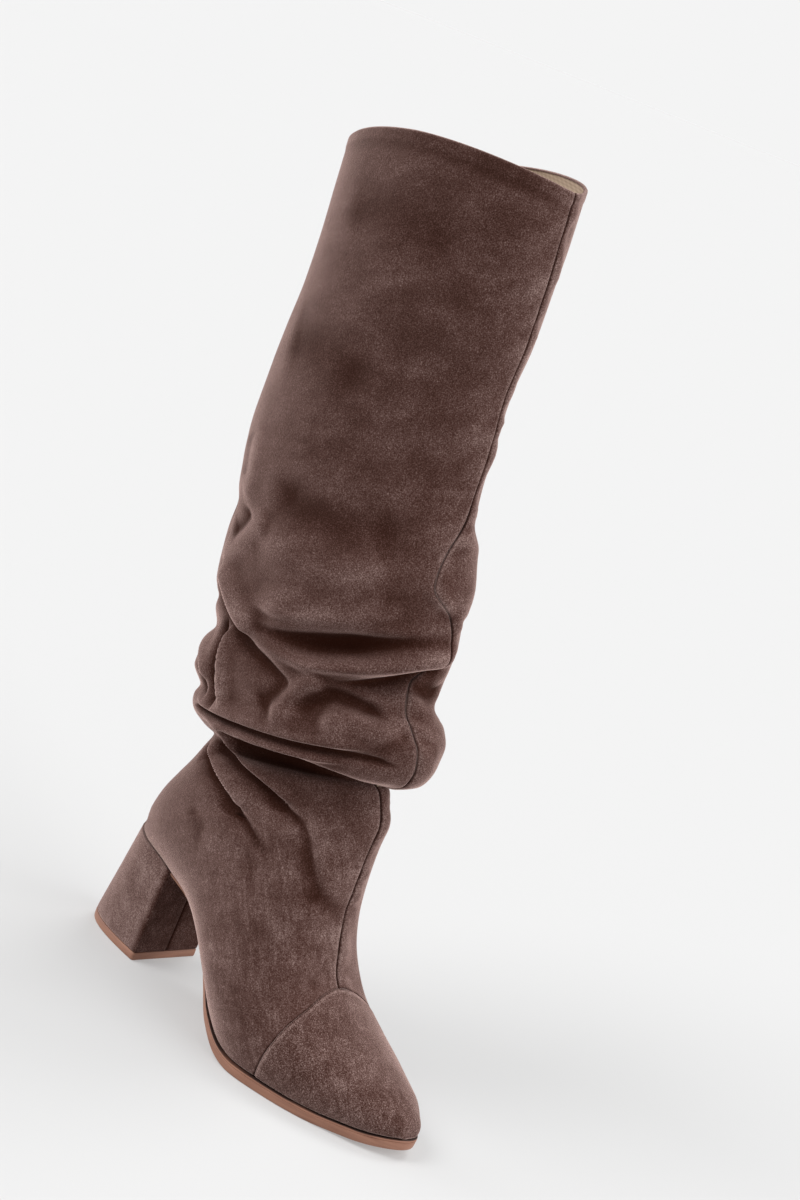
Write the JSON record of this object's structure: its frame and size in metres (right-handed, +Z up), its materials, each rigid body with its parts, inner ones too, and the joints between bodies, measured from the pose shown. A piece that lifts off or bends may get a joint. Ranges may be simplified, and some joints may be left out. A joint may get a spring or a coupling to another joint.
{
  "type": "slouch knee boot",
  "caption": "Women's slouch boot to just below the knee, in brown suede, with an almond toe, a stitched toe cap and a covered block heel. Right foot.",
  "frame": {"origin": "on the floor, under the middle of the boot's box", "axes": "+X to the toe, +Y to the inner side of the foot, +Z up"},
  "size_m": [0.2586, 0.098, 0.4743],
  "materials": {
    "suede": "taupe brown suede with a short brushed nap",
    "sole": "tan, matt, flat edge",
    "lining": "beige textile"
  },
  "bodies": {
    "root": {"upper": "suede", "heel": "suede", "outsole": "sole", "heel_top_piece": "sole", "insole": "lining"}
  },
  "joints": []
}
